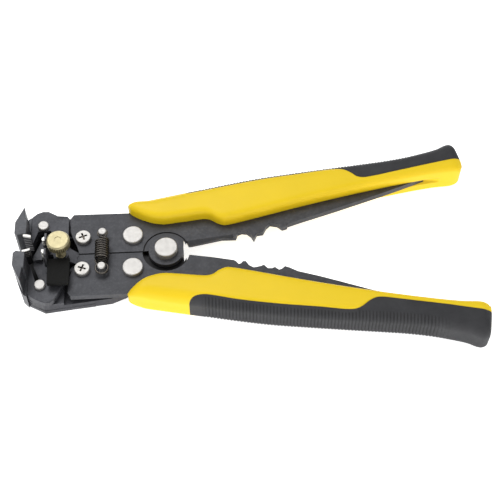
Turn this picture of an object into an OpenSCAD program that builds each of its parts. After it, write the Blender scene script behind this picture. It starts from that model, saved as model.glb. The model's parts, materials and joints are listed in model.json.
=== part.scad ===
// Self-adjusting wire stripper, lying on its side.
// Two crossed levers, a pair of rocking gripper arms, a sliding pair of
// stripping jaws between them, a return spring and two-tone grips.
// X runs from the jaws (-) to the handle ends (+), Y across the tool, Z up.
// The origin is the bottom centre of the whole tool. Points and heights below
// are measured from the main pivot, at the levers' middle plane; lift() moves
// them into place. Outlines are for the upper (+Y) side unless they say lower.

/* [Levers] */
// Thickness of each steel lever plate
plate_t = 3; // [2.8:0.1:3]
// Radius of the round lap disc at the main pivot
lap_r = 7.8; // [7.5:0.1:8]
// Radius of the relief the other lever turns in
relief_r = 10.6; // [10.4:0.1:10.8]
// Radius of the main rivet's shank
main_shank_r = 3; // [2.6:0.1:3.2]
// Radius of the main rivet's head
main_head_r = 5.1; // [4.6:0.1:5.6]
// Height of the grips, through the thickness of the tool
grip_t = 16; // [15:0.5:16]

/* [Jaws] */
// How far each lever swings from rest to fully squeezed, in degrees
lever_swing = 11; // [9:0.5:11]
// How far the stripping jaws are pulled back over that swing
pull = 6.5; // [5:0.5:6.5]
// Height of the gripper blocks above the middle of the levers
block_top = 12.5; // [11:0.5:13]
// Number of spring-steel leaves in each stripping blade pack
leaves = 8; // [6:1:9]

/* [Small parts] */
// Radius of the brass adjusting knob
knob_r = 5.15; // [4.8:0.05:5.2]
// Height of the brass adjusting knob
knob_h = 3.9; // [3.5:0.1:4]
// Number of flutes round the knob
knob_flutes = 40; // [24:4:48]
// Wire diameter of the return spring's end loops
spring_wire = 0.8; // [0.6:0.05:0.9]
// Outside radius of the return spring
spring_r = 3.2; // [2.8:0.1:3.2]
// Number of turns in the return spring
spring_turns = 10; // [10:1:14]
// Number of grooves that rib the lower grip's inlay
ribs = 54; // [30:2:56]

/* [Hidden] */
$fn = 48;

overlap = 0.01;            // sinks one solid into the next
fit = 0.05;                // running clearance
snug = 0.02;               // clearance of parts that don't move
far = 10;                  // reach of a cut that goes right through
origin = [0, 0];           // main pivot
pivot_x = -36.5;           // main pivot from the middle of the tool

// Fixed points of the mechanism on the upper side, [x, y]
arm_at = [-14.8, 8.6];     // gripper arm pivot on the lever
screw_at = [-37.1, 8.4];   // screw whose tip drives the pull bar
pin_at = [-28.3, 9.1];     // return spring pin
cheek_at = [-55.3, 15.7];  // rivet that holds the cheek plates
stud_at = [-36.7, 17];     // stud the gripper arm rocks on
jaw_at = [-38.5, 0];       // pin the stripping jaws turn on
knob_at = [-46.9, 1.1];    // adjusting screw

// Radii of the small shanks, feet and bosses
arm_shank_r = 2.5;
arm_foot_r = 4;
screw_r = 1.5;
pin_r = 1.3;
cheek_shank_r = 1.6;
cheek_foot_r = 2.8;
stud_shank_r = 1.2;
stud_head_r = 1.8;
jaw_pin_r = 1.5;
jaw_boss_r = 3.3;
knob_screw_r = 1.5;

// Heights, from the levers' middle plane
mid_z = grip_t / 2;        // that plane above the ground
bottom_z = -mid_z;
spine_top = -6;
core_z = -5.9;             // underside of the arms and pull bar
tongue_z = [-4.5, -3.2];   // pull bar tongue, bottom and top
arm_top = -3.4;
bar_top = -1.7;
head_top = -1.5;           // top of the arm's head, where the cheek rests
lever_top = plate_t / 2;
main_rivet_z = lever_top + 0.55;
tower_top = 11;
knob_top = 12.2;

inlay_colour = [0.16, 0.16, 0.17];
arm_colour = [0.27, 0.27, 0.29];
cheek_colour = [0.33, 0.33, 0.35];
base_colour = [0.3, 0.3, 0.32];
block_colour = [0.36, 0.36, 0.38];
jaw_colour = [0.34, 0.34, 0.36];

// ---------------------------------------------------------------- helpers
function rotated(angle, point) = [
    point.x * cos(angle) - point.y * sin(angle),
    point.x * sin(angle) + point.y * cos(angle)];
function flip(points) = [for (point = points) [point.x, -point.y]];

module slab(points, bottom, top) {
    translate([0, 0, bottom]) linear_extrude(top - bottom) polygon(points);
}
module disc(centre, radius, bottom, top) {
    translate([centre.x, centre.y, bottom]) cylinder(r = radius, h = top - bottom);
}
module hole(centre, radius, reach = far) { disc(centre, radius, -reach, reach); }
module box(low, high) { translate(low) cube(high - low); }
// round-ended slot between two points
module slot(start, end, radius, bottom, top) {
    run = end - start;
    disc(start, radius, bottom, top);
    disc(end, radius, bottom, top);
    translate([start.x, start.y, bottom]) rotate([0, 0, atan2(run.y, run.x)])
        translate([0, -radius, 0]) cube([norm(run), 2 * radius, top - bottom]);
}
// shank with an eased-edge head on top
module rivet(centre, radius, bottom, top, head_r, head_h) {
    translate([centre.x, centre.y, 0]) {
        translate([0, 0, bottom]) cylinder(r = radius, h = top - bottom + overlap);
        translate([0, 0, top]) rotate_extrude() polygon([[0, 0], [head_r, 0],
            [head_r, head_h - 0.35], [head_r - 0.12, head_h - 0.12],
            [head_r - 0.35, head_h], [0, head_h]]);
    }
}
// rivet through the whole stack, with a flat foot at the bottom
module footed_rivet(centre, radius, head_r, head_h, foot_r, foot_h) {
    rivet(centre, radius, bottom_z + foot_h, lever_top, head_r, head_h);
    disc(centre, foot_r, bottom_z, bottom_z + foot_h);
}
module lift() { translate([pivot_x, 0, mid_z]) children(); }
module over() { mirror([0, 1, 0]) children(); }

// ---------------------------------------------------------------- levers
// Lever edges, [x, y]. The inner edges run from the pivot to the handle end.
upper_notch = [[7.9, 5.4], [8.8, 3.2], [11.5, 3.4], [25.1, 6.2], [31.5, 6.1],
    [32.5, 8.6], [34.4, 9.3], [36.6, 8.9], [38.4, 7.2], [39.6, 4.6], [41.1, 7.9],
    [43.9, 8.3], [45.5, 11.3], [47.4, 13.1], [50.6, 12.4], [52.7, 10.4],
    [55.1, 11.1], [55.3, 12.1], [61.3, 14.2], [78.1, 19.7], [100.1, 27.3],
    [110.5, 31.2], [121, 35.3], [123.5, 38.4]];
lower_notch = [[7.9, 4.6], [8.8, 2.8], [10.6, 2.6], [20.3, 4.3], [30, 6.4],
    [30.9, 7], [32.1, 8.6], [33.1, 8.2], [34, 7.1], [35.3, 7.2], [36.6, 9.4],
    [38.7, 10.7], [41.4, 10.2], [43.2, 9.5], [44.9, 11.4], [46.6, 11.5],
    [48, 10.9], [49.7, 12.4], [51, 12], [52.5, 10.7], [54.6, 11.6], [58, 13.6],
    [67.5, 16.7], [76, 19.8], [90.2, 25.1], [99.9, 27.8], [112, 33], [121, 38.6]];
// round the jaw end, then along the outer edge under the grip
head_edge = [[-38.6, 0.3], [-39.9, 4.6], [-42, 9.4], [-42.9, 13], [-43.1, 19.9],
    [-41.9, 21.8], [-17, 21.6]];
outer_edge = [[-14, 21.8], [0, 23.4], [20, 26.3], [60, 32.4], [100, 37.4], [118, 40.2]];
function lever_outline(notch) = concat([[7.6, 0.3], [-8.6, 0.3]], head_edge, outer_edge,
    [for (i = [len(notch) - 1 : -1 : 0]) notch[i]]);

lap_z = 0.03;              // where the two levers' lapped halves meet
bevel_size = 2.6;
bevel_length = 21.5;

module lever(notch) {
    difference() {
        union() {
            difference() {
                slab(lever_outline(notch), -lever_top, lever_top);
                disc(origin, relief_r, -lever_top - 1, lap_z);
            }
            disc(origin, lap_r, lap_z, lever_top + 0.5);
        }
        // turned line round the raised lap disc
        difference() {
            disc(origin, relief_r - 0.3, lever_top - 0.45, lever_top + 2);
            disc(origin, relief_r - 0.9, lever_top - 1, lever_top + 3);
        }
        // deeper groove round the other lever's disc, on the lapped side
        difference() {
            disc(origin, relief_r, -lever_top - 1, 0.8);
            disc(origin, lap_r + 0.1, -lever_top - 2, 2);
        }
        hole(origin, main_shank_r + fit);
        hole(arm_at, arm_shank_r + snug);
        hole(screw_at, screw_r + snug);
        hole(pin_at, pin_r + snug);
        // bevel of the wire cutter beside the pivot
        translate([9, 3, lever_top]) rotate([0, 0, 7.2]) rotate([45, 0, 0])
            translate([0, -bevel_size / 2, -bevel_size / 2])
                cube([bevel_length, bevel_size, bevel_size]);
    }
}
module upper_lever() { color("dimgray") lift() lever(upper_notch); }
// turned over, so that its lap disc faces down
module lower_lever() { color("dimgray") lift() rotate([180, 0, 0]) lever(lower_notch); }

// ---------------------------------------------------------------- grips
// Grip outline, [x, y]: inner side, handle end, then outer side back again
grip_inner = [[-16.9, 22.4], [-15.6, 20.6], [-11.8, 18], [-7.1, 15.7], [-1.3, 14.45],
    [6.3, 15.15], [14.2, 16.2], [17.5, 16.5], [20.1, 16], [23.4, 13.8], [26.5, 12.6],
    [29.8, 13.1], [38.3, 15.2], [60, 20.9], [85.6, 27], [109.5, 32], [126, 34.8],
    [135.4, 35.6]];
grip_end = [[138.1, 36.3], [139, 38], [138.9, 43], [137.9, 48.6], [136.6, 51.9],
    [134.6, 52.6], [132.6, 52.2]];
grip_outer = [[128.5, 50.1], [117, 46.8], [104.3, 44.4], [91.4, 42.8], [78.5, 41.3],
    [61.4, 39.2], [44.2, 36.9], [28.6, 34], [15.6, 31.2], [4.4, 28.8], [-7.1, 26.3],
    [-14.2, 24.6], [-16.4, 23.7]];
grip_outline = concat(grip_inner, grip_end, grip_outer);

// Where the soft inlay meets the grip, [x, y], closed beyond the grip outline
lower_split = [[9.9, 40], [9.9, 31.5], [11, 29.2], [13.8, 27.4], [17.5, 27.4], [31.6, 30.6],
    [48.6, 33.6], [65.5, 35.9], [78.2, 37.8], [81, 37.6], [83.5, 36.5], [87.3, 33.7],
    [90.1, 32.4], [93, 32.3], [100.3, 33.6], [117.2, 36.7], [129.7, 39.4], [141, 41.7],
    [141, 60], [9.9, 60]];
upper_split = [[9.9, 45], [9.9, 29.2], [15.6, 29.6], [28.6, 32.4], [44.2, 35.3],
    [61.4, 37.5], [78.5, 39.1], [82.6, 38.1], [86.1, 35.6], [88.7, 33.3], [91.4, 32.6],
    [95.2, 33], [109.6, 36.1], [129.1, 40.3], [141, 42.4], [141, 60], [9.9, 60]];
// Slot in the inner wall, round and beyond the lever's end, [x, y]
end_slot = [[112, 30], [112, 34.5], [122, 36.4], [131, 37], [132.5, 36], [132.5, 33]];

rib_start = 16;            // x of the first inlay groove
rib_run = 102;             // from the first groove to the last
rib_half_w = 0.35;         // half the width of a groove
rib_depth = 0.45;
rib_reach = 6.5;           // half the height of a groove

// the inlay, or the rest of the grip, hollowed out for the lever
module grip(split, notch, inlay) {
    hollow_z = lever_top + snug;
    difference() {
        if (inlay) intersection() {
            slab(grip_outline, -mid_z, mid_z);
            slab(split, -2 * far, 2 * far);
        }
        else difference() {
            slab(grip_outline, -mid_z, mid_z);
            slab(split, -2 * far, 2 * far);
        }
        slab(lever_outline(notch), -hollow_z, hollow_z);
        slab(end_slot, -hollow_z, hollow_z);
    }
}
module upper_grip() { color("gold") lift() grip(upper_split, upper_notch, false); }
module upper_grip_inlay() { color(inlay_colour) lift() grip(upper_split, upper_notch, true); }
module lower_grip() { color("gold") lift() over() grip(lower_split, lower_notch, false); }
module lower_grip_inlay() {
    color(inlay_colour) lift() over() difference() {
        grip(lower_split, lower_notch, true);
        // cross grooves that leave the ribs of the inlay standing
        for (i = [0 : ribs - 1]) {
            x = rib_start + i * (rib_run / (ribs - 1));
            y = lookup(x, grip_outer);
            box([x - rib_half_w, y - rib_depth, -rib_reach], [x + rib_half_w, y + 2, rib_reach]);
        }
    }
}

// ---------------------------------------------------------------- rivets and pins
module pivot_rivet() {
    footed_rivet(arm_at, arm_shank_r, head_r = 4.55, head_h = 1.75,
                 foot_r = arm_foot_r, foot_h = 1.4);
}
module upper_pivot_rivet() { color("gainsboro") lift() pivot_rivet(); }
module lower_pivot_rivet() { color("gainsboro") lift() over() pivot_rivet(); }

// cross-slotted screw with a thinner tip below the lever
module screw() {
    cross = [3.8, 0.84, 2];
    difference() {
        union() {
            rivet(screw_at, screw_r, -lever_top, lever_top, head_r = 3.5, head_h = 1.85);
            disc(screw_at, 1.2, -3.25, -lever_top);
        }
        for (angle = [20, 110]) translate([screw_at.x, screw_at.y, lever_top + 0.85])
            rotate([0, 0, angle]) translate([-cross.x / 2, -cross.y / 2, 0]) cube(cross);
    }
}
module upper_screw() { color("silver") lift() screw(); }
module lower_screw() { color("silver") lift() over() screw(); }

module spring_pin() {
    neck_top = 5.2;
    disc(pin_at, pin_r, -lever_top, neck_top);
    rivet(pin_at, pin_r, neck_top - 0.7, neck_top, head_r = 1.85, head_h = 0.9);
}
module upper_spring_pin() { color("silver") lift() spring_pin(); }
module lower_spring_pin() { color("silver") lift() over() spring_pin(); }

module main_rivet() {
    color("gainsboro") lift() {
        disc(origin, main_shank_r, bottom_z, main_rivet_z);
        rivet(origin, main_shank_r, 0, main_rivet_z, main_head_r, head_h = 2.8);
    }
}
module pivot_spacer() {
    color("dimgray") lift() difference() {
        disc(origin, 5, spine_top + fit, -main_rivet_z);
        hole(origin, main_shank_r + snug);
    }
}

// Extension spring along Y: a solid barrel with one ridge for each turn,
// and a wire loop at each end
coil_y = [-6, 5.2];
// One turn's ridge: [share of the pitch, offset from the outside radius]
ridge = [[0.02, -0.3], [0.3, 0], [0.7, 0], [0.98, -0.3]];
module spring_loop(y, z, radius) {
    translate([0, y, z]) rotate_extrude() translate([radius, 0]) circle(r = spring_wire / 2);
}
module return_spring() {
    pitch = (coil_y[1] - coil_y[0]) / spring_turns;
    color([0.2, 0.2, 0.2]) lift() translate([pin_at.x, 0, 4.85]) {
        rotate([-90, 0, 0]) rotate_extrude() polygon(concat(
            [[0, coil_y[0]]],
            [for (i = [0 : spring_turns - 1], corner = ridge)
                [spring_r + corner[1], coil_y[0] + pitch * (i + corner[0])]],
            [[0, coil_y[1]]]));
        spring_loop(y = 8.3, z = -0.1, radius = 2.56);
        spring_loop(y = -9.3, z = -0.7, radius = 2.78);
    }
}

// ---------------------------------------------------------------- gripper arms
// Plan outlines, [x, y]
arm_outline = [[-60.75, 20.4], [-53.7, 24.2], [-42.3, 22.9], [-24.4, 20.8], [-18.2, 18.1],
    [-11.2, 12.8], [-9.4, 8.6], [-11.2, 4.9], [-15.5, 4.9], [-31, 5.6], [-34.2, 8],
    [-35.8, 11.9], [-44, 12.3], [-50, 13.4], [-57.4, 13.4], [-60.75, 3.2]];
upper_cheek_outline = [[-60.75, 21.3], [-58.6, 23.4], [-56, 24.4], [-53.4, 24.3],
    [-49.6, 22], [-48.2, 20.5], [-43.9, 20.4], [-43.9, 6.7], [-49, 7.5], [-52, 13.4],
    [-57.5, 13.4], [-60.75, 3.3]];
lower_cheek_outline = [[-60.75, 20.3], [-56, 23.2], [-53, 24.6], [-50.8, 24.6],
    [-49, 23.2], [-47.4, 20.6], [-46, 16.8], [-45, 14.6], [-44.6, 13.3], [-52, 13.3],
    [-57.5, 13.3], [-60.75, 3.3]];
base_outline = [[-60.75, 20.4], [-53.7, 24.4], [-42.3, 23.0], [-31.6, 21.8],
    [-31.6, 20.3], [-42.6, 20.3], [-42.6, 13.4], [-57.4, 13.4], [-60.75, 3.2]];
block_outline = [[-66, 5.2], [-66, 11.2], [-62.3, 19.3], [-61.5, 13], [-60.8, 12.6],
    [-60.8, 4.6], [-62.2, 4.6], [-64.8, 4]];
block_foot_outline = [[-66, 5.2], [-66, 11.2], [-63.3, 18.6], [-60.8, 21.2], [-60.8, 4.6]];
insert_outline = [[-62.2, 4.58], [-62.2, 3.75], [-58.7, 2.85], [-58.7, 3.9],
    [-60.75, 4.58]];

module arm() {
    difference() {
        union() {
            slab(arm_outline, core_z, arm_top);
            // taller at the head
            intersection() {
                slab(arm_outline, core_z, head_top);
                box([-61, 0, -far], [-45, 30, 0]);
            }
            // down to the bottom at the rear
            intersection() {
                slab(arm_outline, bottom_z, arm_top);
                box([-31.5, 0, -far], [0, 30, 0]);
            }
            // boss at the pivot
            disc(arm_at, 4.9, core_z, -lever_top - 0.1);
        }
        hole(arm_at, arm_shank_r + fit);
        disc(arm_at, arm_foot_r + 0.3, -far, bottom_z + 1.5);
        slot(stud_at, stud_at - [1.1, 0], stud_head_r + 0.25, -far, 0);
        hole(cheek_at, cheek_shank_r + snug);
    }
}
module upper_arm() { color(arm_colour) lift() arm(); }
module lower_arm() { color(arm_colour) lift() over() arm(); }

module cheek(outline) {
    difference() {
        slab(outline, head_top, lever_top);
        hole(cheek_at, cheek_shank_r + snug);
    }
}
module upper_cheek() { color(cheek_colour) lift() cheek(upper_cheek_outline); }
module lower_cheek() { color(cheek_colour) lift() over() cheek(lower_cheek_outline); }

cheek_foot_h = 1;
module base_cheek() {
    difference() {
        slab(base_outline, bottom_z, core_z);
        hole(cheek_at, cheek_shank_r + snug);
        disc(cheek_at, cheek_foot_r + snug, -far, bottom_z + cheek_foot_h);
    }
}
module upper_base_cheek() { color(base_colour) lift() base_cheek(); }
module lower_base_cheek() { color(base_colour) lift() over() base_cheek(); }

module jaw_block() {
    slab(block_outline, bottom_z, block_top);
    slab(block_foot_outline, bottom_z, lever_top);
}
module upper_jaw_block() { color(block_colour) lift() jaw_block(); }
module lower_jaw_block() { color(block_colour) lift() over() jaw_block(); }

// hardened toothed strip let into the mouth side of the block
module grip_insert() {
    insert_z = lever_top + 0.15;
    tooth_pitch = 1.9;
    difference() {
        slab(insert_outline, insert_z, block_top - 0.3);
        for (z = [insert_z + 1.1 : tooth_pitch : block_top - 1.2])
            translate([-60.4, 3.25, z]) rotate([0, 0, -14.4]) rotate([45, 0, 0])
                cube([6, 0.9, 0.9], center = true);
    }
}
module upper_grip_insert() { color("silver") lift() grip_insert(); }
module lower_grip_insert() { color("silver") lift() over() grip_insert(); }

module cheek_rivet() {
    footed_rivet(cheek_at, cheek_shank_r, head_r = 2.45, head_h = 1.5,
                 foot_r = cheek_foot_r, foot_h = cheek_foot_h);
}
module upper_cheek_rivet() { color("gainsboro") lift() cheek_rivet(); }
module lower_cheek_rivet() { color("gainsboro") lift() over() cheek_rivet(); }

// ---------------------------------------------------------------- spine and pull bar
spine_half_w = 3.9;
bar_half_w = 3.6;
key_half_w = 1.4;
key_slot_half_w = key_half_w + 0.1;
studs = [for (side = [-1, 1]) [stud_at.x, side * stud_at.y]];
// Side wing of the pull bar, [x, y]
wing = [[-30, 0], [-30, 4.6], [-34.4, 7.6], [-38.4, 17.9], [-43.8, 17.9],
    [-43.9, 14.8], [-40.1, 6.8], [-35, 5], [-34.6, 0]];

module spine_plate() {
    color([0.3, 0.3, 0.31]) lift() difference() {
        union() {
            box([-40.5, -spine_half_w, bottom_z], [0, spine_half_w, spine_top]);
            disc(origin, 6.2, bottom_z, spine_top);
            // crossbar that carries the studs
            box([-39.2, -19.6, bottom_z], [-34.2, 19.6, spine_top]);
        }
        hole(origin, main_shank_r + snug, 2 * far);
        box([-33.6, -key_slot_half_w, -2 * far], [-15, key_slot_half_w, 2 * far]);
        for (stud = studs) hole(stud, stud_shank_r + snug, 2 * far);
    }
}
module fulcrum_studs() {
    color("silver") lift() for (stud = studs) {
        disc(stud, stud_shank_r, bottom_z, core_z);
        disc(stud, stud_head_r, spine_top + fit, arm_top - 0.1);
    }
}

// slot the screw's tip runs in, from rest to fully squeezed
module screw_slot() {
    squeezed = rotated(-lever_swing, screw_at);
    slot(screw_at, squeezed - [pull, 0], 1.45, -far, 0);
}
module pull_bar() {
    color([0.42, 0.42, 0.44]) lift() difference() {
        union() {
            box([-34.6, -bar_half_w, core_z], [-16, bar_half_w, -3.3]);
            box([-34.6, -bar_half_w, core_z], [-29.5, bar_half_w, bar_top]);
            slab(wing, tongue_z[1], bar_top);
            slab(flip(wing), tongue_z[1], bar_top);
            // tongue between the two stripping jaws
            disc(jaw_at, jaw_boss_r, tongue_z[0], tongue_z[1]);
            box([jaw_at.x, -jaw_boss_r, tongue_z[0]], [-34, jaw_boss_r, tongue_z[1]]);
            // key that runs in the spine's slot
            box([-32.8, -key_half_w, -7.6], [-22, key_half_w, core_z + overlap]);
        }
        hole(jaw_at, jaw_pin_r + fit);
        screw_slot();
        over() screw_slot();
    }
}
module jaw_pin() {
    color("silver") lift() disc(jaw_at, jaw_pin_r, core_z + fit, bar_top - fit);
}

// ---------------------------------------------------------------- stripping jaws
// Plan outlines, [x, y]; the lower jaw's is drawn in place, not mirrored
tower = [[-53, 2.4], [-53, 5.6], [-52.1, 5.6], [-52.1, 2.3]];
upper_jaw_outline = [[-36.2, 2.3], [-37.2, 3.3], [-40.2, 3.5], [-43, 5.4], [-47, 11],
    [-56, 11.2], [-59.6, 2.2], [-59.6, 0.1], [-55.7, 0.1], [-55.4, 2.7], [-51, 2.7],
    [-50.2, 0], [-49, -2.6], [-44.6, -2.6], [-42.8, -1.6], [-40, -3.2], [-37.4, -3.2]];
lower_jaw_outline = [[-36.2, -2.3], [-37.2, -3.3], [-40.2, -3.5], [-43, -5.4], [-47, -11],
    [-56, -11.2], [-59.6, -2.2], [-59.6, 1], [-51.4, 1], [-50.4, -1], [-49.8, -4.8],
    [-43.6, -4.8], [-42.2, -2.6], [-40, 3.2], [-37.4, 3.2]];
lower_jaw_pad = [[-59.6, -2.2], [-56, -11.2], [-52, -11.1], [-52, -6.6], [-55.6, -6.6],
    [-55.8, -2.9], [-59.5, -2.0]];
blade_outline = [[-54.2, 2.35], [-54.2, 3.7], [-53.02, 4.6], [-53.02, 2.25]];
upper_jaw_z = [-3.7, -1.8];           // bottom and top
lower_jaw_z = [core_z + fit, -3.9];
rail_low = [-51, -10.4, -4];          // wire stop's rail, opposite corners
rail_high = [-42.5, -9.4, -2.9];

// room for the pull bar's tongue round the jaw pin
module tongue_relief(bottom, top) {
    disc(jaw_at, 4.1, bottom, top);
    box([jaw_at.x, -4, bottom], [-30, 4, top]);
}
module upper_strip_jaw() {
    color(jaw_colour) lift() difference() {
        union() {
            slab(upper_jaw_outline, upper_jaw_z[0], upper_jaw_z[1]);
            disc(jaw_at, jaw_boss_r, upper_jaw_z[0], upper_jaw_z[1]);
            slab(tower, -1.9, tower_top);
            // boss the adjusting screw passes through
            disc(knob_at, 3, upper_jaw_z[0], 0.2);
        }
        tongue_relief(-far, tongue_z[1] + 0.1);
        hole(jaw_at, jaw_pin_r + fit);
        hole(knob_at, knob_screw_r + fit);
    }
}
module lower_strip_jaw() {
    color(jaw_colour) lift() difference() {
        union() {
            slab(lower_jaw_outline, lower_jaw_z[0], lower_jaw_z[1]);
            disc(jaw_at, jaw_boss_r, lower_jaw_z[0], lower_jaw_z[1]);
            slab(flip(tower), -4, tower_top);
            slab(lower_jaw_pad, -4, -3.8);
            box(rail_low, rail_high);
        }
        tongue_relief(tongue_z[0] - 0.1, far);
        hole(jaw_at, jaw_pin_r + fit);
    }
}

// separate leaves stacked up the tower
module blade_pack() {
    pack_z = -1.4;
    pitch = (10.6 - pack_z) / leaves;
    leaf_t = pitch * 0.62;
    for (i = [0 : leaves - 1])
        slab(blade_outline, pack_z + i * pitch, pack_z + i * pitch + leaf_t);
}
module upper_blades() { color("silver") lift() blade_pack(); }
module lower_blades() { color("silver") lift() over() blade_pack(); }

// ---------------------------------------------------------------- adjuster and stop
module adjust_knob() {
    bore = knob_screw_r + snug;
    color([0.86, 0.76, 0.45]) lift() translate([knob_at.x, knob_at.y, knob_top - knob_h])
        difference() {
            rotate_extrude() polygon([[bore, 0], [knob_r - 0.3, 0], [knob_r, 0.3],
                [knob_r, knob_h - 0.7], [knob_r - 0.7, knob_h], [bore, knob_h]]);
            for (i = [0 : knob_flutes - 1]) rotate([0, 0, i * 360 / knob_flutes])
                translate([knob_r + 0.12, 0, -1]) cylinder(r = 0.3, h = knob_h + 2, $fn = 4);
        }
}
module adjust_screw() {
    color([0.82, 0.72, 0.42]) lift() disc(knob_at, knob_screw_r, -5.4, knob_top - 0.2);
}
// seven separate rings stand for the coils
module knob_spring() {
    color([0.8, 0.7, 0.42]) lift() translate([knob_at.x, knob_at.y, 0])
        union() for (i = [0 : 6]) translate([0, 0, 0.55 + i * 1.1])
            rotate_extrude() translate([2.0, 0]) circle(r = 0.33, $fn = 24);
}
module wire_stop() {
    color([0.1, 0.1, 0.1]) lift() difference() {
        union() {
            box([-51.85, -17.3, 3.5], [-42.3, -4.4, 5.5]);
            box([-51, -10.9, -2.8], [-47.2, -6.3, 3.55]);
            box([-51, -11.1, -3.7], [-47.2, -8.9, -2.7]);
        }
        // groove that straddles the rail
        box([-60, rail_low.y - fit, -5], [-40, rail_high.y + fit, rail_high.z + fit]);
    }
}

lower_lever();
lower_grip();
lower_grip_inlay();
lower_pivot_rivet();
lower_screw();
lower_spring_pin();
upper_lever();
upper_grip();
upper_grip_inlay();
upper_pivot_rivet();
upper_screw();
upper_spring_pin();
return_spring();
main_rivet();
pivot_spacer();
spine_plate();
fulcrum_studs();
upper_arm();
upper_cheek();
upper_base_cheek();
upper_jaw_block();
upper_grip_insert();
upper_cheek_rivet();
lower_arm();
lower_cheek();
lower_base_cheek();
lower_jaw_block();
lower_grip_insert();
lower_cheek_rivet();
pull_bar();
jaw_pin();
upper_strip_jaw();
upper_blades();
lower_strip_jaw();
lower_blades();
adjust_knob();
adjust_screw();
knob_spring();
wire_stop();
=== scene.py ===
"""Self-adjusting wire stripper: looks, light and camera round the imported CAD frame.

The tool lies flat on the floor: the head is towards -X, the grips run towards +X, the upper
lever is on the +Y side, and +Z is up. Drawing tables are in millimetres from the main pivot.
"""
import json
import math

import bmesh
import bpy
import numpy as np
from mathutils import Matrix, Vector

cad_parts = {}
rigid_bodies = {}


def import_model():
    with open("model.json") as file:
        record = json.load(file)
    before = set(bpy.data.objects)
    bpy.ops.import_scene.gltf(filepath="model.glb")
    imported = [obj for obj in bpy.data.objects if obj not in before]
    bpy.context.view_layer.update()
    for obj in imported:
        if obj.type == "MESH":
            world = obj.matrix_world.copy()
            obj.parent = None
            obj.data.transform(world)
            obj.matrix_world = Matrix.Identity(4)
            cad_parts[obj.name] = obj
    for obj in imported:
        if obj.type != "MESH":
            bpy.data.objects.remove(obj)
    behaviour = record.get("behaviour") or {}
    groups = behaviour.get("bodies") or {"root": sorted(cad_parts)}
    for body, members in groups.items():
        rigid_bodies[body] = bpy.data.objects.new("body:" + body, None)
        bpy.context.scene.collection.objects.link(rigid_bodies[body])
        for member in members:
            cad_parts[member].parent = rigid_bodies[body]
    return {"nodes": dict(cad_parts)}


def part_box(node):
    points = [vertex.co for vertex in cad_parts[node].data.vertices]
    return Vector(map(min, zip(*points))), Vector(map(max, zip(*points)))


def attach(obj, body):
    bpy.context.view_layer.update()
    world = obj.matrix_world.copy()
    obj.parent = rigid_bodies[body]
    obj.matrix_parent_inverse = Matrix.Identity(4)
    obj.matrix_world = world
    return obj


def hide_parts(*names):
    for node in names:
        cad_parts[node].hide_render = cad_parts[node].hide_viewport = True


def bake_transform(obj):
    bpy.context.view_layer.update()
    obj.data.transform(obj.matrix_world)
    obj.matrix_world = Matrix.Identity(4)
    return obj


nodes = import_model()["nodes"]
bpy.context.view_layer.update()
scene = bpy.context.scene

# Main pivot in the frame, in millimetres
rivet_low, rivet_high = (Vector(corner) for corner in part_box("main_rivet"))
PIVOT_X = (rivet_low.x + rivet_high.x) / 2 * 1000
PIVOT_Y = (rivet_low.y + rivet_high.y) / 2 * 1000
grip_low, grip_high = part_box("upper_grip")
PIVOT_Z = (grip_low[2] + grip_high[2]) / 2 * 1000


def place(x, y, z):
    """Moves a drawing point (mm from the pivot) to the frame (metres)."""
    return ((x + PIVOT_X) / 1000, (y + PIVOT_Y) / 1000, (z + PIVOT_Z) / 1000)


def height(z):
    return place(0, 0, z)[2]


# ------------------------------------------------------------------ shader helpers
def noise(tree, coord, scale, detail=3.0, stretch=None):
    node = tree.nodes.new("ShaderNodeTexNoise")
    node.inputs["Scale"].default_value = scale
    node.inputs["Detail"].default_value = detail
    node.inputs["Roughness"].default_value = 0.55
    if stretch:
        mapping = tree.nodes.new("ShaderNodeMapping")
        mapping.inputs["Scale"].default_value = stretch
        tree.links.new(coord, mapping.inputs["Vector"])
        coord = mapping.outputs["Vector"]
    tree.links.new(coord, node.inputs["Vector"])
    return node.outputs["Fac"]


def ramp(tree, value, source, target):
    """Maps the source range of a value onto the target range."""
    node = tree.nodes.new("ShaderNodeMapRange")
    node.inputs["From Min"].default_value, node.inputs["From Max"].default_value = source
    node.inputs["To Min"].default_value, node.inputs["To Max"].default_value = target
    tree.links.new(value, node.inputs["Value"])
    return node.outputs["Result"]


def mix_colour(tree, factor, first, second):
    node = tree.nodes.new("ShaderNodeMix")
    node.data_type = "RGBA"
    # inputs 6 and 7 are the two colours
    for socket, colour in ((node.inputs[6], first), (node.inputs[7], second)):
        if isinstance(colour, tuple):
            socket.default_value = (*colour, 1)
        else:
            tree.links.new(colour, socket)
    tree.links.new(factor, node.inputs[0])
    return node.outputs[2]


def maths(tree, operation, *values):
    """Math node; each value is a number or a socket."""
    node = tree.nodes.new("ShaderNodeMath")
    node.operation = operation
    for socket, value in zip(node.inputs, values):
        if isinstance(value, (int, float)):
            socket.default_value = value
        else:
            tree.links.new(value, socket)
    return node.outputs[0]


def multiply(tree, result, *factors):
    for factor in factors:
        result = maths(tree, "MULTIPLY", result, factor)
    return result


def position(tree, space=None):
    """X, Y and Z sockets in the object's own space, or in another object's."""
    coord = tree.nodes.new("ShaderNodeTexCoord")
    coord.object = space
    split = tree.nodes.new("ShaderNodeSeparateXYZ")
    tree.links.new(coord.outputs["Object"], split.inputs[0])
    return split.outputs


def offset(tree, x, y, centre_x, centre_y):
    """Offsets and distance from a vertical axis, in metres."""
    dx = maths(tree, "SUBTRACT", x, centre_x)
    dy = maths(tree, "SUBTRACT", y, centre_y)
    total = maths(tree, "ADD", multiply(tree, dx, dx), multiply(tree, dy, dy))
    return dx, dy, maths(tree, "SQRT", total)


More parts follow.
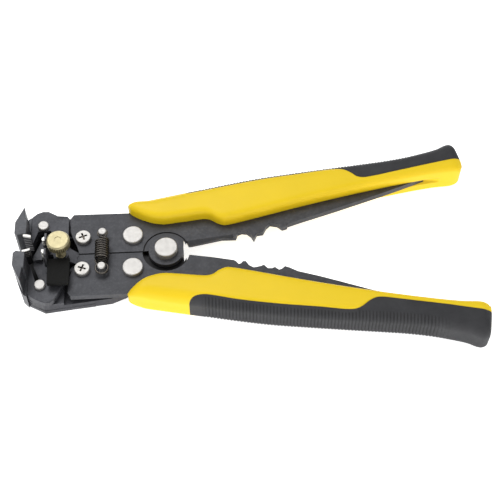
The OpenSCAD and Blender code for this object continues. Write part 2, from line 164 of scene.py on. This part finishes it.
def tint(tree, factor, colour):
    """Mixes a colour over the base colour by a mask."""
    base = tree.nodes["Principled BSDF"].inputs["Base Color"]
    tree.links.new(mix_colour(tree, factor, base.links[0].from_socket, colour), base)


# ------------------------------------------------------------------ materials
MATERIALS = {}
WEAR_COLOUR = (0.20, 0.20, 0.21)


def surface(name, base, rough, metallic=0.0, grain=1400, grain_amount=0.08, bump=0.15,
            bump_scale=2600, bump_distance=0.00004, mottle=0.12, mottle_scale=160, wear=0.0,
            stretch=None, specular=0.5):
    """Mottled colour, grainy roughness and fine bump, with optional edge wear."""
    material = bpy.data.materials.new(name)
    material.use_nodes = True
    tree = material.node_tree
    shader = tree.nodes["Principled BSDF"]
    coord = tree.nodes.new("ShaderNodeTexCoord").outputs["Object"]
    dark = tuple(c * (1 - mottle) for c in base)
    light = tuple(min(1.0, c * (1 + mottle)) for c in base)
    patches = noise(tree, coord, mottle_scale, detail=4)
    colour = mix_colour(tree, ramp(tree, patches, (0.3, 0.7), (0, 1)), dark, light)
    roughness = ramp(tree, noise(tree, coord, grain, stretch=stretch),
                     (0.25, 0.75), (rough - grain_amount, rough + grain_amount))
    if wear > 0:
        geometry = tree.nodes.new("ShaderNodeNewGeometry")
        edges = maths(tree, "MULTIPLY_ADD", noise(tree, coord, 900, detail=4), 0.12,
                      geometry.outputs["Pointiness"])
        colour = mix_colour(tree, ramp(tree, edges, (0.585, 0.66), (0, wear)),
                            colour, WEAR_COLOUR)
    tree.links.new(colour, shader.inputs["Base Color"])
    tree.links.new(roughness, shader.inputs["Roughness"])
    shader.inputs["Metallic"].default_value = metallic
    shader.inputs["Specular IOR Level"].default_value = specular
    shader.inputs["Coat Roughness"].default_value = 0.25
    relief = tree.nodes.new("ShaderNodeBump")
    relief.inputs["Strength"].default_value = bump
    relief.inputs["Distance"].default_value = bump_distance
    tree.links.new(noise(tree, coord, bump_scale, stretch=stretch), relief.inputs["Height"])
    tree.links.new(relief.outputs["Normal"], shader.inputs["Normal"])
    MATERIALS[name] = material
    return material


DARK_STEEL = dict(metallic=0.55, grain=2200, grain_amount=0.06, bump=0.55, bump_scale=1400,
                  bump_distance=0.00006, mottle=0.14, mottle_scale=220, wear=0.30,
                  specular=0.35)
FASTENER = dict(metallic=0.85, grain=900, grain_amount=0.06, bump=0.5, bump_scale=700,
                mottle_scale=500)

surface("blackened_steel", base=(0.056, 0.057, 0.063), rough=0.46, **DARK_STEEL)
surface("cheek_steel", base=(0.058, 0.059, 0.066), rough=0.44, **DARK_STEEL)
surface("arm_steel", base=(0.047, 0.047, 0.054), rough=0.46, **DARK_STEEL)
surface("block_steel", base=(0.068, 0.070, 0.077), rough=0.42, **DARK_STEEL)
surface("tooth_steel", base=(0.48, 0.47, 0.45), rough=0.34, metallic=1.0, bump=0.25,
        stretch=(1, 1, 8))
surface("leaf_steel", base=(0.60, 0.59, 0.56), rough=0.36, metallic=0.9, bump=0.2, mottle=0.08)
surface("bright_steel", base=(0.53, 0.515, 0.495), rough=0.46, mottle=0.06, **FASTENER)
surface("screw_steel", base=(0.52, 0.505, 0.48), rough=0.44, mottle=0.10, **FASTENER)
surface("spring_steel", base=(0.115, 0.104, 0.093), rough=0.27, metallic=0.95, bump=0.2)
surface("brass", base=(0.48, 0.425, 0.255), rough=0.42, metallic=0.95, grain=1600, bump=0.4,
        mottle=0.09)
surface("yellow_plastic", base=(0.94, 0.66, 0.012), rough=0.40, grain=500, grain_amount=0.05,
        bump=0.18, bump_scale=1700, bump_distance=0.00003, mottle=0.025, mottle_scale=60,
        specular=0.28)
surface("black_rubber", base=(0.036, 0.036, 0.039), rough=0.55, grain=900, bump=0.35,
        mottle=0.15, specular=0.32)
surface("stop_plastic", base=(0.007, 0.007, 0.0065), rough=0.6, bump=0.3, mottle=0.2,
        specular=0.14)


# ------------------------------------------------------------------ masks over the base colours
BARE_LIMIT_COLOUR = (0.04, 0.04, 0.045)  # blackening on the teeth and leaves


def lap_groove_painted_shade(tree):
    """Dark painted shade in the groove round the lap disc, below the plate's face."""
    x, y, z = position(tree)
    centre_x, centre_y, face = place(0, 0, 1.2)
    radius = offset(tree, x, y, centre_x, centre_y)[2]
    factor = multiply(tree, maths(tree, "LESS_THAN", radius, 0.01065),
                      maths(tree, "GREATER_THAN", radius, 0.0078),
                      maths(tree, "LESS_THAN", z, face), 0.85)
    # painted shade: near-black tint over the steel in the sunken ring round the lap disc
    tint(tree, factor, (0.006, 0.0055, 0.005))


def between_ribs_painted_shade(tree):
    """Painted shade between the ribs; the strength is stored on the mesh."""
    stored = tree.nodes.new("ShaderNodeAttribute")
    stored.attribute_name = "groove"
    # painted shade: near-black tint in the grooves between the ribs
    tint(tree, multiply(tree, stored.outputs["Fac"], 0.75), (0.008, 0.008, 0.008))


def tooth_dark(tree):
    """Blackened below the ground tip; the lower strip's bare ridges go further down."""
    _, y, z = position(tree)
    ridge_pitch = 0.00125
    dark = (0, 0.92)
    top = ramp(tree, z, (height(11.7), height(11.1)), dark)
    deep = ramp(tree, z, (height(8.4), height(7.6)), dark)
    wave = maths(tree, "SINE", multiply(tree, z, 2 * math.pi / ridge_pitch))
    bands = multiply(tree, maths(tree, "GREATER_THAN", wave, 0.2),
                     maths(tree, "LESS_THAN", z, height(11.3)), 0.85)
    ridges = maths(tree, "MAXIMUM", deep, bands)
    is_lower = maths(tree, "LESS_THAN", y, 0.0)
    is_upper = maths(tree, "SUBTRACT", 1.0, is_lower)
    factor = maths(tree, "ADD", multiply(tree, ridges, is_lower),
                   multiply(tree, top, is_upper))
    tint(tree, factor, BARE_LIMIT_COLOUR)


def leaf_dark(tree):
    """Only the upper three leaves of each pack are bare."""
    _, _, z = position(tree)
    tint(tree, ramp(tree, z, (height(6.4), height(5.6)), (0, 0.92)), BARE_LIMIT_COLOUR)


def slot_darkening(tree):
    """Darker brown inside the cross slots of the two screws, at equal distances either side of
    y = 0.
    """
    x, y, z = position(tree)
    screw_x, _, slot_top = place(-37.1, 0, 3.15)
    radius = offset(tree, x, maths(tree, "ABSOLUTE", y), screw_x, 0.0084)[2]
    low = maths(tree, "LESS_THAN", z, slot_top)
    factor = multiply(tree, maths(tree, "LESS_THAN", radius, 0.0022),
                      multiply(tree, low, 0.85))
    # darker brown tint inside each screw's cross slot
    tint(tree, factor, (0.05, 0.035, 0.02))


def flute_painted_shade(tree):
    """Painted shade: dark lines between the knob's 34 flutes, on its side only."""
    low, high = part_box("adjust_knob")
    knob_radius, knob_top, margin = (high[0] - low[0]) / 2, high[2], 0.0006
    x, y, z = position(tree)
    dx, dy, radius = offset(tree, x, y, place(-46.9, 0, 0)[0], 0.0011)
    wave = maths(tree, "SINE", multiply(tree, maths(tree, "ARCTAN2", dy, dx), 34.0))
    line = maths(tree, "POWER", maths(tree, "MAXIMUM", wave, 0.0), 1.5)
    side = multiply(tree, maths(tree, "GREATER_THAN", radius, knob_radius - margin),
                    maths(tree, "LESS_THAN", z, knob_top - margin))
    # painted shade in the flutes on the knob's side
    tint(tree, multiply(tree, line, side, 0.8), (0.10, 0.07, 0.025))


for name, add_mask in (("blackened_steel", lap_groove_painted_shade), ("black_rubber", between_ribs_painted_shade),
                       ("tooth_steel", tooth_dark), ("leaf_steel", leaf_dark),
                       ("screw_steel", slot_darkening), ("brass", flute_painted_shade)):
    add_mask(MATERIALS[name].node_tree)


# ------------------------------------------------------------------ finishing the CAD pieces
def both(*stems):
    return [f"{side}_{stem}" for stem in stems for side in ("upper", "lower")]


# material: (edge bevel in mm, pieces)
PIECES = {
    "blackened_steel": (0.35, both("lever")),
    "cheek_steel": (0.3, both("cheek", "strip_jaw")),
    "arm_steel": (0.25, both("arm", "base_cheek") + [
        "spine_plate", "pivot_spacer", "pull_bar", "fulcrum_studs", "jaw_pin"]),
    "block_steel": (0.3, both("jaw_block")),
    "tooth_steel": (0.06, both("grip_insert")),
    "leaf_steel": (0.04, both("blades")),
    "bright_steel": (0.18, ["main_rivet"] + both("pivot_rivet", "spring_pin", "cheek_rivet")),
    "screw_steel": (0.10, both("screw")),
    "spring_steel": (0.05, ["return_spring"]),
    "brass": (0.10, ["adjust_knob", "adjust_screw", "knob_spring"]),
    "yellow_plastic": (1.0, both("grip")),
    "black_rubber": (1.0, both("grip_inlay")),
    "stop_plastic": (0.3, ["wire_stop"]),
}


def dress(piece, material, edge):
    piece.data.materials.clear()
    piece.data.materials.append(material)
    weld = piece.modifiers.new("weld", "WELD")
    weld.merge_threshold = 2e-6
    bevel = piece.modifiers.new("edges", "BEVEL")
    bevel.width = edge / 1000
    bevel.segments = 2
    bevel.limit_method = "ANGLE"
    bevel.angle_limit = math.radians(32)
    bevel.use_clamp_overlap = True


for name, (edge, pieces) in PIECES.items():
    for piece in pieces:
        dress(nodes[piece], MATERIALS[name], edge)


# ------------------------------------------------------------------ mesh helpers
def make(name, verts, faces, material):
    """Smooth-shaded mesh object with merged doubles and outward normals."""
    mesh = bpy.data.meshes.new(name)
    mesh.from_pydata([tuple(v) for v in verts], [], faces)
    bm = bmesh.new()
    bm.from_mesh(mesh)
    bmesh.ops.remove_doubles(bm, verts=bm.verts, dist=1e-7)
    bmesh.ops.recalc_face_normals(bm, faces=bm.faces)
    bm.to_mesh(mesh)
    bm.free()
    for polygon in mesh.polygons:
        polygon.use_smooth = True
    mesh.materials.append(material)
    made = bpy.data.objects.new(name, mesh)
    scene.collection.objects.link(made)
    return made


def between(a, b, start, end, t):
    return (end - t) / (end - start) * a + (t - start) / (end - start) * b


def smooth_line(points, steps):
    """Centripetal Catmull-Rom curve through the points."""
    p = np.array(points, float)
    p = np.vstack([2 * p[0] - p[1], p, 2 * p[-1] - p[-2]])
    line = []
    for i in range(1, len(p) - 2):
        p0, p1, p2, p3 = p[i - 1:i + 3]
        knots = [0.0]
        for a, b in ((p0, p1), (p1, p2), (p2, p3)):
            knots.append(knots[-1] + max(1e-6, np.linalg.norm(b - a) ** 0.5))
        t0, t1, t2, t3 = knots
        for k in range(steps):
            t = t1 + (t2 - t1) * k / steps
            a1 = between(p0, p1, t0, t1, t)
            a2 = between(p1, p2, t1, t2, t)
            a3 = between(p2, p3, t2, t3, t)
            b1 = between(a1, a2, t0, t2, t)
            b2 = between(a2, a3, t1, t3, t)
            line.append(between(b1, b2, t1, t2, t))
    line.append(p[-2])
    return np.array(line)


def tube(name, path, radius, material, sides):
    """Round capped wire swept along a path (metres), with a steady frame."""
    path = np.array(path)
    tangents = np.gradient(path, axis=0)
    tangents /= np.linalg.norm(tangents, axis=1)[:, None]
    u = np.cross(tangents[0], [0.3, 0.5, 0.8])
    u /= np.linalg.norm(u)
    verts, faces = [], []
    for i, (centre, tangent) in enumerate(zip(path, tangents)):
        u = u - np.dot(u, tangent) * tangent
        u /= np.linalg.norm(u)
        v = np.cross(tangent, u)
        for k in range(sides):
            angle = 2 * math.pi * k / sides
            verts.append(centre + radius * (math.cos(angle) * u + math.sin(angle) * v))
        if i:
            for k in range(sides):
                a, b = (i - 1) * sides + k, (i - 1) * sides + (k + 1) % sides
                faces.append((a, b, b + sides, a + sides))
    faces.append(tuple(range(sides)))
    faces.append(tuple(range(len(verts) - sides, len(verts))))
    return make(name, verts, faces, material)


# ------------------------------------------------------------------ grips
# Outlines as (x, distance from the pivot's centre line), mm; the lower grip mirrors them in y.
INNER = [  # edge facing the other grip
    (-16.9, 22.4), (-15.6, 20.6), (-11.8, 18), (-7.1, 15.7), (-1.3, 14.45), (6.3, 15.15),
    (14.2, 16.2), (17.5, 16.5), (20.1, 16), (23.4, 13.8), (26.5, 12.65), (29.8, 13.1),
    (38.3, 15.2), (60, 20.9), (85.6, 27), (109.5, 32), (126, 34.8), (135.4, 35.6),
    (138.0, 36.35), (138.9, 37.9)]
OUTER = [
    (-16.9, 22.6), (-16.4, 23.7), (-14.2, 24.6), (-7.1, 26.3), (4.4, 28.8), (15.6, 31.15),
    (28.6, 33.95), (44.2, 36.85), (61.4, 39.15), (78.5, 41.25), (91.4, 42.75), (104.3, 44.35),
    (117, 46.75), (128.5, 50.05), (132.6, 52.1), (134.5, 52.5), (136.5, 51.8), (137.8, 48.4),
    (138.7, 43.2), (138.93, 38.1)]
SPLIT = {  # seam between the yellow shell and the black inlay
    "lower": [
        (9.7, 29.85), (9.86, 29.45), (10.34, 28.9), (11.1, 28.3), (12.1, 27.8), (13.3, 27.5),
        (15, 27.3), (17.5, 27.4), (31.6, 30.6), (48.6, 33.6), (65.5, 35.9), (77.5, 37.7),
        (81, 37.6), (83.5, 36.5), (87.3, 33.7), (90.1, 32.4), (93, 32.3), (100.3, 33.6),
        (117.2, 36.7), (129.7, 39.4), (139, 41.3)],
    "upper": [
        (9.7, 27.6), (15.6, 28.6), (28.6, 31.2), (44.2, 34.1), (61.4, 36.4), (78.5, 38.4),
        (82.6, 37.8), (86.1, 35.6), (88.7, 33.3), (91.4, 32.6), (95.2, 33.0), (109.6, 36.1),
        (129.1, 40.3), (139, 42.2)],
}
GRIP_START, GRIP_END = INNER[0][0], 138.95
INLAY_START = 9.7
RIBS_START, RIBS_END, RIB_PITCH = 14.6, 121.9, 1.45
GRIP_HALF_HEIGHT = 7.95
START_TAPER = {"upper": (2.4, 5.0), "lower": (5.2, 9.0)}  # drop in half height, length in x
TAIL_START, TAIL_DROP = 134, 2.2
OUTER_RADII = (5.0, 3.4)  # rounding above and below the mid-plane
SHELL_SAMPLES, INLAY_SAMPLES = 25, 30  # per half section, either side of the seam sample
HALF_SAMPLES = SHELL_SAMPLES + 1 + INLAY_SAMPLES


def grip_line(points):
    line = smooth_line(points, 14)
    line[:, 0] = np.maximum.accumulate(line[:, 0])
    return line


INNER_LINE, OUTER_LINE = grip_line(INNER), grip_line(OUTER)


def line_at(line, x):
    return float(np.interp(x, line[:, 0], line[:, 1]))


def rib_groove(x):
    """Groove strength between the ribs, 0 to 1, fading at both ends of the ribbing."""
    if not RIBS_START <= x <= RIBS_END:
        return 0.0
    phase = ((x - RIBS_START) % RIB_PITCH) / RIB_PITCH
    groove = max(0.0, math.cos((phase - 0.5) * 2 * math.pi))
    return groove * min(1, (x - RIBS_START) / 3, (RIBS_END - x) / 9)


def half_section(inner, outer, top, r_in, r_out, crown, seam):
    """Half a cross-section, from mid inner side over the top to mid outer side.

    Returns the y and z samples and their outward normals; one sample lies on the seam.
    """
    points = [(inner, 0.0), (inner, (top - r_in) * 0.5)]
    for k in range(13):
        t = math.pi / 2 * k / 12
        points.append((inner + r_in * (1 - math.cos(t)), top - r_in + r_in * math.sin(t)))
    for k in range(1, 24):
        points.append((inner + r_in + (outer - inner - r_in - r_out) * k / 24, top))
    r_z = min(r_out, top * 0.8)
    for k in range(19):
        t = math.pi / 2 * k / 18
        points.append((outer - r_out * (1 - math.sin(t)), top - r_z + r_z * math.cos(t)))
    points += [(outer, (top - r_z) * share) for share in (0.66, 0.33, 0.0)]
    profile = np.array(points)
    across = np.clip((profile[:, 0] - inner) / max(1e-6, outer - inner), 0, 1) * 2 - 1
    profile[:, 1] -= crown * across ** 2 * np.clip(profile[:, 1] / top, 0, 1)

    steps = np.linalg.norm(np.diff(profile, axis=0), axis=1)
    lengths = np.concatenate([[0], np.cumsum(steps)])
    upper_part = np.where(profile[:, 1] > 0.3 * top)[0]
    at_seam = float(np.interp(seam, profile[upper_part, 0], lengths[upper_part]))
    gap = 0.4  # clear distance either side of the seam sample
    slot = min(1.45, top * 0.3)
    samples = np.concatenate([
        [0, slot, slot + 0.12],
        np.linspace(slot + 0.6, at_seam - gap, SHELL_SAMPLES - 3), [at_seam],
        np.linspace(at_seam + gap, lengths[-1], INLAY_SAMPLES)])
    y = np.interp(samples, lengths, profile[:, 0])
    z = np.interp(samples, lengths, profile[:, 1])
    normals = np.stack([-np.gradient(z, samples), np.gradient(y, samples)], 1)
    normals /= np.linalg.norm(normals, axis=1)[:, None] + 1e-9
    normals[:3], normals[-1] = (-1, 0), (1, 0)
    return y, z, normals


def grip_stations():
    """Section places along x: close at both ends and the inlay's start, six per rib."""
    quarter = math.pi / 2
    xs = np.concatenate([
        GRIP_START + 5 * (1 - np.cos(np.linspace(0, quarter, 26))),
        np.arange(-11.7, RIBS_START, 0.55),
        np.linspace(9.74, 13.5, 24),
        np.arange(RIBS_START, RIBS_END, RIB_PITCH / 6),
        np.arange(RIBS_END, 131, 0.6),
        131 + (GRIP_END - 131) * np.sin(np.linspace(0, quarter, 48)),
        [INLAY_START, 9.72]])
    return np.unique(np.round(xs, 4))


def grip_ring(x, side, split):
    """Closed cross-section at x as (y, z) points, for the +Y side."""
    inner = line_at(INNER_LINE, x)
    outer = max(line_at(OUTER_LINE, x), inner + 0.05)
    width = outer - inner
    top = GRIP_HALF_HEIGHT
    drop, run = START_TAPER[side]
    if x < GRIP_START + run:
        top -= drop * (1 - (x - GRIP_START) / run) ** 2.2
    if x > TAIL_START:
        top -= TAIL_DROP * ((x - TAIL_START) / (GRIP_END - TAIL_START)) ** 2
    seam_limit = outer - 0.12 if width > 1 else (inner + outer) / 2
    seam = min(max(line_at(split, x), inner + 0.25 * width), seam_limit)
    largest = width / 2 * 0.95
    halves = []
    for r_out in OUTER_RADII:
        y, z, normals = half_section(inner, outer, top, r_in=min(2.6, largest),
                                     r_out=min(r_out, largest),
                                     crown=min(0.6, width / 2 * 0.08), seam=seam)
        cut = np.zeros(len(y))
        if x >= INLAY_START:  # seam line, then the inlay just below the shell
            grow = min(1, (x - INLAY_START) / 3)
            cut[SHELL_SAMPLES] = 0.34 * grow
            cut[SHELL_SAMPLES + 1:] = 0.05 * grow
        if -10 < x < 128.5:  # slot along the inner side
            cut[:2] = 1.7 * min(1, (128.5 - x) / 7)
        outward = np.clip((normals[:, 0] - 0.45) / 0.25, 0, 1) * (y > seam + 0.5)
        cut = np.maximum(cut, 0.48 * rib_groove(x) * outward)
        halves.append(list(zip(np.clip(y - normals[:, 0] * cut, inner, outer),
                               np.clip(z - normals[:, 1] * cut, 0, top))))
    above, below = halves
    return above + [(y, -z) for y, z in below[-2:0:-1]]


def grip_faces(xs, count):
    """Faces of the shell and of the inlay, with both end caps."""
    shell, inlay = [], []
    for i in range(len(xs) - 1):
        for k in range(count):
            following = (k + 1) % count
            along = k if k < HALF_SAMPLES - 1 else count - 1 - k
            part = inlay if xs[i] >= INLAY_START and along >= SHELL_SAMPLES else shell
            part.append((i * count + k, i * count + following,
                         (i + 1) * count + following, (i + 1) * count + k))
    shell.append(tuple(range(count)))
    last = (len(xs) - 1) * count
    for k in range(HALF_SAMPLES - 1):
        part = inlay if k >= SHELL_SAMPLES else shell
        part.append((last + k, last + k + 1, last + count - k - 1, last + (count - k) % count))
    return shell, inlay


def store_groove(mesh, split):
    """Groove strength per vertex, read by the rubber material as painted shade between the
    ribs.
    """
    stored = mesh.attributes.new("groove", "FLOAT", "POINT")
    for v in mesh.vertices:
        x = v.co.x * 1000 - PIVOT_X
        outward = min(1, max(0, (abs(v.normal.y) - 0.35) / 0.2))
        outside = abs(v.co.y * 1000 - PIVOT_Y) > line_at(split, x) + 1.2
        stored.data[v.index].value = rib_groove(x) * outward * outside


def grip(side):
    sign = 1 if side == "upper" else -1
    split = grip_line(SPLIT[side])
    xs = grip_stations()
    rings = [grip_ring(x, side, split) for x in xs]
    verts = [place(x, sign * y, z) for x, ring in zip(xs, rings) for y, z in ring]
    shell, inlay = grip_faces(xs, len(rings[0]))
    for part, faces, piece, slot in (("shell", shell, "grip", "yellow_plastic"),
                                     ("inlay", inlay, "grip_inlay", "black_rubber")):
        used = sorted({v for face in faces for v in face})
        index = {v: i for i, v in enumerate(used)}
        # the end cap's first and last faces repeat a corner, which is dropped here
        faces = [tuple(dict.fromkeys(index[v] for v in face)) for face in faces]
        made = make(f"{side}_grip_{part}", [verts[v] for v in used], faces, MATERIALS[slot])
        if part == "inlay":
            store_groove(made.data, split)
        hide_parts(f"{side}_{piece}")
        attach(made, f"{side}_lever")


grip("upper")
grip("lower")


# ------------------------------------------------------------------ springs
def return_spring():
    """Coil between the levers, with a loop on the upper pin and a wound tail at -Y."""
    low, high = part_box("return_spring")
    x = (low[0] + high[0]) / 2 * 1000 - PIVOT_X
    z = 4.85
    pin_low, pin_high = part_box("upper_spring_pin")
    pin_y = (pin_low[1] + pin_high[1]) / 2 * 1000
    coil_radius, loop_radius, tail_radius, wire_radius = 2.78, 2.05, 2.74, 0.38
    coil_top, coil_pitch, turns, steps = 4.75, 1.19, 8.75, 32
    loop = [(x + loop_radius * math.sin(math.radians(a)),
             pin_y - 0.25 + loop_radius * math.cos(math.radians(a)), z - 0.1)
            for a in range(-140, 161, 10)]
    lead = [(x - loop_radius * 0.5, 6.3, z + 0.6), (x - loop_radius * 0.3, 5.5, z + 2.0)]
    coil = []
    for k in range(int(turns * steps) + 1):
        turn = k / steps
        angle = 2 * math.pi * turn
        coil.append((x + coil_radius * math.sin(angle), coil_top - coil_pitch * turn,
                     z + coil_radius * math.cos(angle)))
    tail = [(x - coil_radius * 0.98, -6.3, z - 0.5)] + [
        (x - tail_radius * math.cos(math.radians(a)),
         -9.3 - tail_radius * math.sin(math.radians(a)), z - 0.7 - 0.75 * (a + 40) / 620)
        for a in range(-40, 581, 10)]
    path = [place(*p) for p in smooth_line(loop[::-1] + lead + coil + tail, 3)]
    spring = tube("return_spring_coil", path, wire_radius / 1000, MATERIALS["spring_steel"],
                  sides=12)
    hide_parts("return_spring")
    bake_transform(spring)


def knob_spring():
    """Upright seven-turn coil with flat ends, in metres."""
    low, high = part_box("knob_spring")
    x, y = (low[0] + high[0]) / 2, (low[1] + high[1]) / 2
    bottom, top = low[2] + 0.0004, high[2] - 0.0004
    radius = (high[0] - low[0]) / 2 - 0.00034
    steps, flat = 26, 16  # path steps per turn, and in each flat end
    count = 7 * steps
    path = [(x + radius * math.cos(2 * math.pi * k / steps),
             y + radius * math.sin(2 * math.pi * k / steps),
             bottom + (top - bottom) * min(1, max(0, (k - flat) / (count - 2 * flat))))
            for k in range(count + 1)]
    spring = tube("knob_spring_coil", path, 0.00033, MATERIALS["brass"], sides=10)
    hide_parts("knob_spring")
    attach(spring, "upper_stripper")


return_spring()
knob_spring()


# ------------------------------------------------------------------ stage, light, camera
def floor_material():
    """Glowing white paper with a painted shadow under the head: a dark patch that does not
    glow.
    """
    material = surface("floor_paper", base=(0.93, 0.93, 0.93), rough=0.85, bump=0.05,
                       mottle=0.004, mottle_scale=8)
    tree = material.node_tree
    shader = tree.nodes["Principled BSDF"]
    shader.inputs["Emission Color"].default_value = (1, 1, 1, 1)
    # the painted shadow patch turns with the spine, so it stays under the head at every pose
    spine = bpy.data.objects["spine_plate"]
    while spine.parent:
        spine = spine.parent
        if "spine" in spine.name:
            break
    x, y, _ = position(tree, spine)

    def band(axis, middle, half):
        """1 inside a band on the floor (mm), 0 outside it."""
        away = maths(tree, "ABSOLUTE", maths(tree, "SUBTRACT", axis, middle / 1000))
        return maths(tree, "LESS_THAN", away, half / 1000)

    # painted shadow: under the head the floor turns near-black and stops glowing
    head = maths(tree, "MAXIMUM",
                 multiply(tree, band(x, PIVOT_X - 33.5, 28.5), band(y, 0.5, 18)),
                 multiply(tree, band(x, PIVOT_X - 60, 3.5), band(y, -4.8, 8.5)))
    glow = multiply(tree, maths(tree, "SUBTRACT", 1.0, head), 0.78)
    tree.links.new(glow, shader.inputs["Emission Strength"])
    tint(tree, head, (0.02, 0.02, 0.02))
    return material


def add_floor():
    bpy.ops.mesh.primitive_plane_add(size=6, location=(0, 0, -0.0001))
    floor = bpy.context.object
    floor.name = "floor"
    floor.data.materials.append(floor_material())


def add_world():
    """Near-white sky, brighter towards the top."""
    world = bpy.data.worlds.new("studio")
    scene.world = world
    world.use_nodes = True
    tree = world.node_tree
    background = tree.nodes["Background"]
    coord = tree.nodes.new("ShaderNodeTexCoord")
    split = tree.nodes.new("ShaderNodeSeparateXYZ")
    tree.links.new(coord.outputs["Generated"], split.inputs[0])
    strength = ramp(tree, split.outputs["Z"], (-0.1, 0.9), (0.22, 0.62))
    tree.links.new(strength, background.inputs["Strength"])
    background.inputs["Color"].default_value = (0.98, 0.99, 1.0, 1)


def area(name, location, target, size, power):
    light = bpy.data.lights.new(name, "AREA")
    light.shape = "RECTANGLE"
    light.size, light.size_y = size
    light.energy = power
    lamp = bpy.data.objects.new(name, light)
    scene.collection.objects.link(lamp)
    lamp.location = location
    aim = Vector(target) - Vector(location)
    lamp.rotation_euler = aim.to_track_quat("-Z", "Y").to_euler()


def add_camera():
    """Looks down from the -Y side at a point among the grips."""
    elevation, azimuth, roll = (math.radians(a) for a in (55.93, -3.75, 0.77))
    distance = 0.4837
    target = Vector(place(37.50, -0.39, 0))
    back = Vector((math.sin(azimuth) * math.cos(elevation),
                   -math.cos(azimuth) * math.cos(elevation), math.sin(elevation)))
    level = (-back).cross(Vector((0, 0, 1))).normalized()
    upright = level.cross(-back)
    right = math.cos(roll) * level + math.sin(roll) * upright
    up = -math.sin(roll) * level + math.cos(roll) * upright
    lens = bpy.data.cameras.new("camera")
    lens.lens = 77.5152
    lens.sensor_width = 36
    lens.clip_start, lens.clip_end = 0.01, 20
    camera = bpy.data.objects.new("camera", lens)
    scene.collection.objects.link(camera)
    rows = [(right[i], up[i], back[i], target[i] + distance * back[i]) for i in range(3)]
    camera.matrix_world = Matrix((*rows, (0, 0, 0, 1)))
    scene.camera = camera


add_floor()
add_world()
area("key", location=(-0.25, 0.45, 0.75), target=(0, 0, 0), size=(0.7, 0.5), power=2.9)
area("fill", location=(0.45, -0.65, 0.6), target=(0, 0, 0), size=(0.9, 0.6), power=1.4)
area("front", location=(0.05, -0.8, 0.16), target=(0.02, 0, 0.01), size=(1.0, 0.25), power=1.5)
area("strip", location=(-0.5, -0.2, 0.35), target=(-0.05, 0, 0), size=(0.2, 0.5), power=0.5)
add_camera()
scene.view_settings.view_transform = "Standard"
scene.view_settings.look = "None"
scene.view_settings.exposure = 0.0
